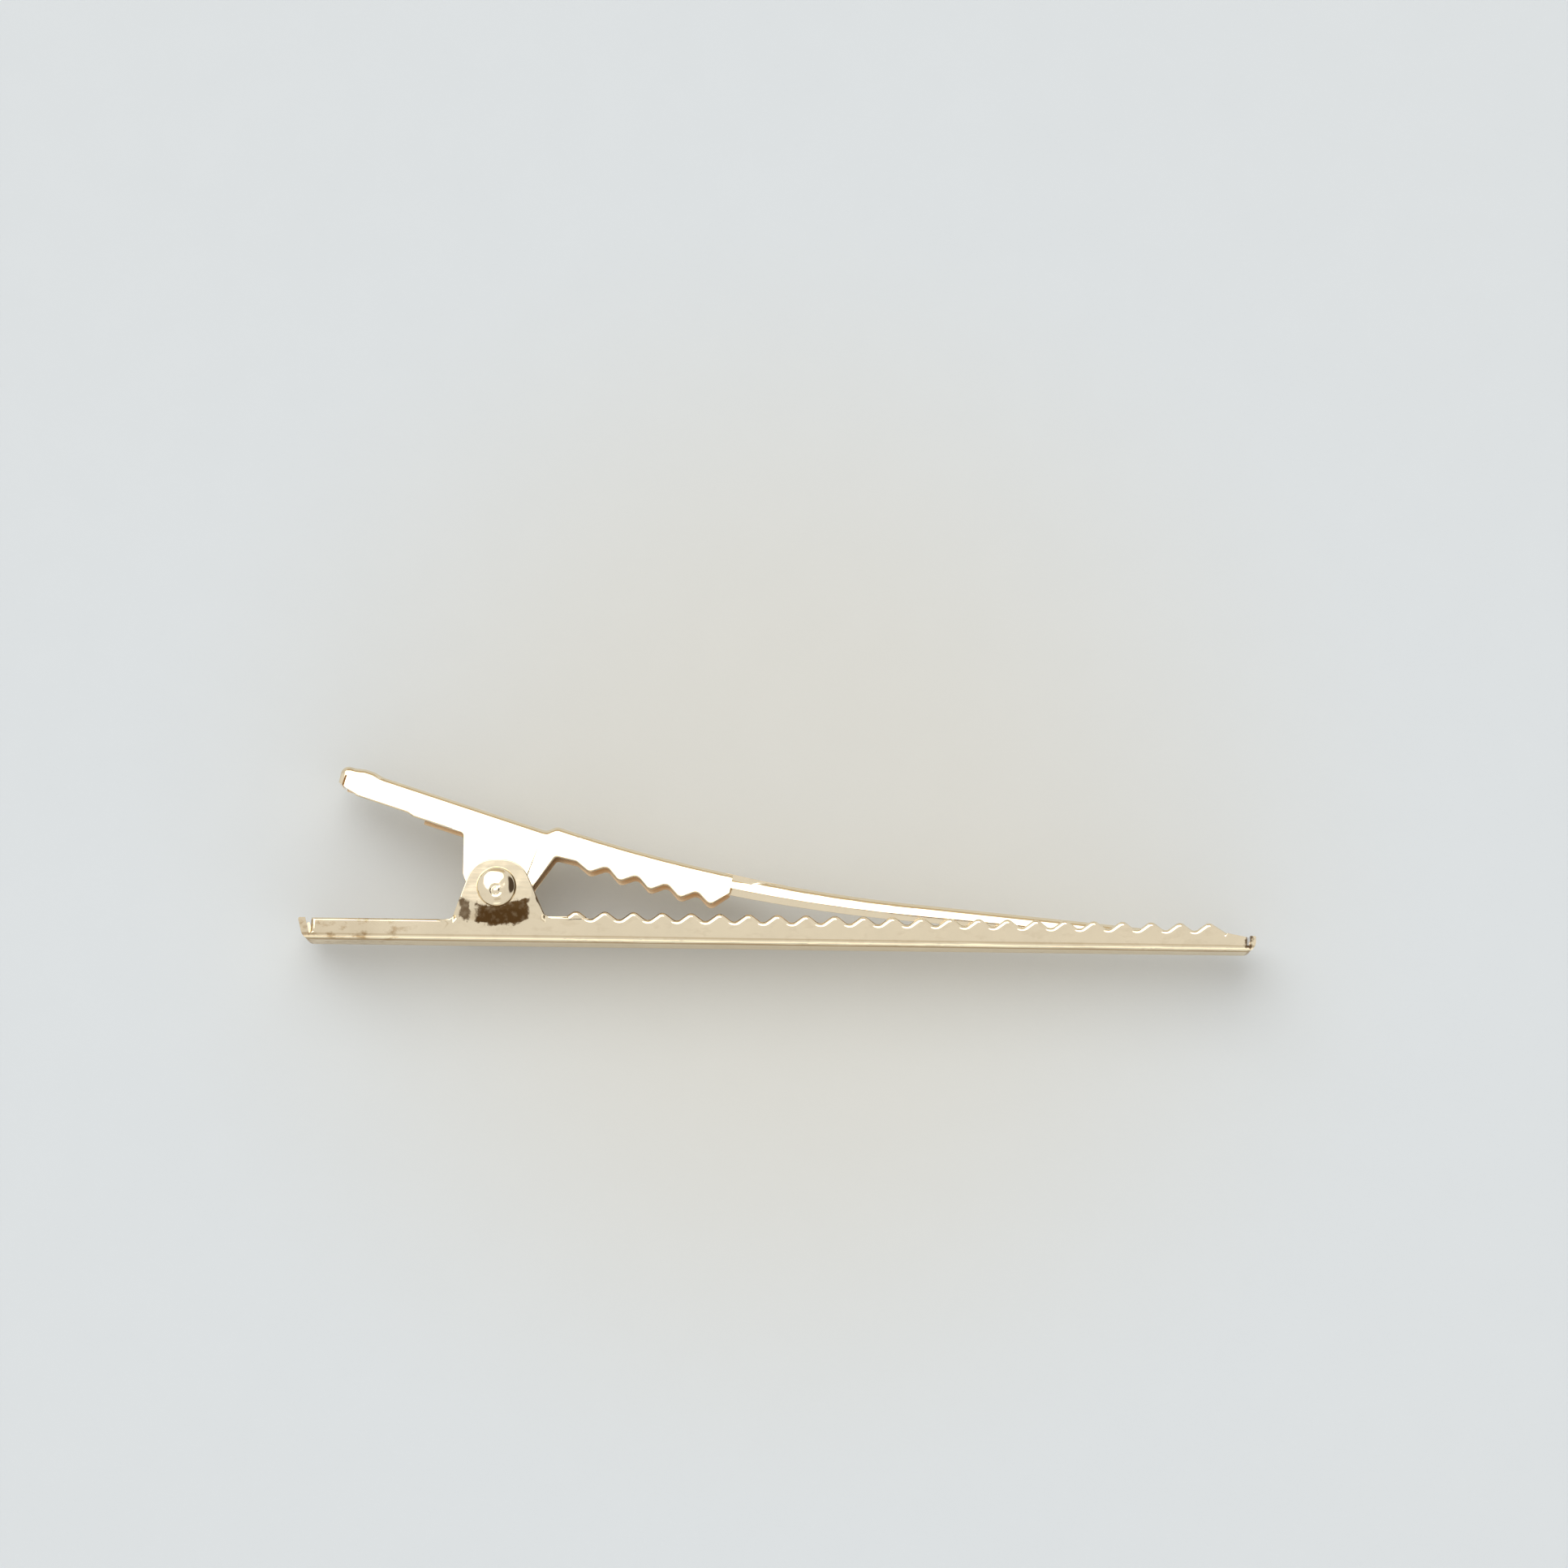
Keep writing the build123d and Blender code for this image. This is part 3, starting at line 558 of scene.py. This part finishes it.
FINISHES = {
    "plated_sheet_long": plated(
        "gold_plate_long", GOLD, BROWN, roughness=0.08, smudges=0.8, back_roughness=0.3
    ),
    "plated_sheet_short": plated("gold_plate_short", GOLD, BROWN, roughness=0.08, smudges=0.3),
    "plated_rivet": plated("gold_plate_rivet", GOLD, BROWN, roughness=0.1, smudges=0.5),
    "spring_wire": plated("bright_wire", STEEL, RUST, roughness=0.2, smudges=0.6),
}

for node, body, slot in (
    ("long_jaw", "long_jaw_body", "plated_sheet_long"),
    ("short_jaw", "short_jaw_body", "plated_sheet_short"),
):
    stamping = rounded_stamping(node, node + "_sheet", FINISHES[slot])
    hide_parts(node)
    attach(stamping, body)

rivet = new_piece("peened_rivet", rivet_shape(), FINISHES["plated_rivet"])
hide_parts("rivet")
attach(rivet, "long_jaw_body")

wire = wire_shape("sprung_wire", spring_path(), WIRE_RADIUS)
spring = new_piece("sprung_wire", wire, FINISHES["spring_wire"])
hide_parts("torsion_spring")
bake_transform(spring)


# ---- Table and light ----

TABLE_SIZE = 6  # metres

bpy.ops.mesh.primitive_plane_add(size=TABLE_SIZE)
table = bpy.context.active_object
table.name = "table"
table.data.materials.append(pale_table())


def direction(azimuth, polar):
    """Unit vector at polar degrees from straight up, azimuth degrees anticlockwise from +X."""
    azimuth, polar = math.radians(azimuth), math.radians(polar)
    return Vector((math.cos(azimuth) * math.sin(polar), math.sin(azimuth) * math.sin(polar), math.cos(polar)))


# Each card of light or dark in the sky: its name, azimuth, angle from straight up, angular radius and
# the width of its soft edge, all in degrees, and its radiance
CARDS = (
    ("window", 115, 36, 29.6, 1.8, (2.7, 2.7, 2.7)),
    ("dark_near", -90, 36, 9, 8, (0.64, 0.6, 0.54)),
    ("low_strip", -90, 78, 12, 6, (1.3, 1.28, 1.22)),
    ("dark_right", 12, 62, 30, 8, (0.08, 0.06, 0.045)),
    ("dark_far", 92, 78, 26, 8, (0.6, 0.52, 0.4)),
)
SKY = (0.8, 0.8, 0.8)


def studio():
    """A room's light around the clip: a pale sky with a large bright window and dark things in it."""
    world = bpy.data.worlds.new("studio")
    bpy.context.scene.world = world
    world.use_nodes = True
    nodes, links = world.node_tree.nodes, world.node_tree.links
    background = nodes["Background"]
    where = nodes.new("ShaderNodeTexCoord")
    colour = nodes.new("ShaderNodeRGB")
    colour.outputs[0].default_value = (*SKY, 1)
    last = colour.outputs[0]
    for name, azimuth, polar, radius, soft, radiance in CARDS:
        dot = nodes.new("ShaderNodeVectorMath")
        dot.operation = "DOT_PRODUCT"
        dot.inputs[1].default_value = direction(azimuth, polar)
        links.new(where.outputs["Generated"], dot.inputs[0])
        share = nodes.new("ShaderNodeMapRange")
        share.interpolation_type = "SMOOTHSTEP"
        share.inputs["From Min"].default_value = math.cos(math.radians(radius + soft / 2))
        share.inputs["From Max"].default_value = math.cos(math.radians(radius - soft / 2))
        links.new(dot.outputs["Value"], share.inputs["Value"])
        mix = nodes.new("ShaderNodeMix")
        mix.name = name
        mix.data_type = "RGBA"
        links.new(share.outputs["Result"], mix.inputs["Factor"])
        links.new(last, mix.inputs["A"])
        mix.inputs["B"].default_value = (*radiance, 1)
        last = mix.outputs["Result"]
    links.new(last, background.inputs["Color"])


studio()
bpy.context.scene.view_settings.view_transform = "Standard"


# ---- Camera ----

head_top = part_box("rivet")[1].z
near_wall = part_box("long_jaw")[1].z
up = Vector((0, math.cos(CAMERA_TILT), math.sin(CAMERA_TILT)))
back = Vector((0, -math.sin(CAMERA_TILT), math.cos(CAMERA_TILT)))
aim = Vector((pivot.x + AIM_FROM_PIVOT[0], pivot.y, head_top)) + up * AIM_FROM_PIVOT[1]
aim -= back * (aim.z - near_wall) / back.z

lens = bpy.data.cameras.new("camera")
lens.sensor_width = SENSOR_WIDTH
lens.lens = SENSOR_WIDTH * CAMERA_DISTANCE / FRAME_WIDTH
lens.clip_start = CAMERA_NEAR_LIMIT
camera = bpy.data.objects.new("camera", lens)
bpy.context.scene.collection.objects.link(camera)
camera.location = aim + back * CAMERA_DISTANCE
right = up.cross(back)
turn = Matrix((right, up, back)).transposed()
camera.matrix_world = (
    Matrix.Translation(camera.location) @ turn.to_4x4() @ Matrix.Rotation(CAMERA_ROLL, 4, "Z")
)
bpy.context.scene.camera = camera
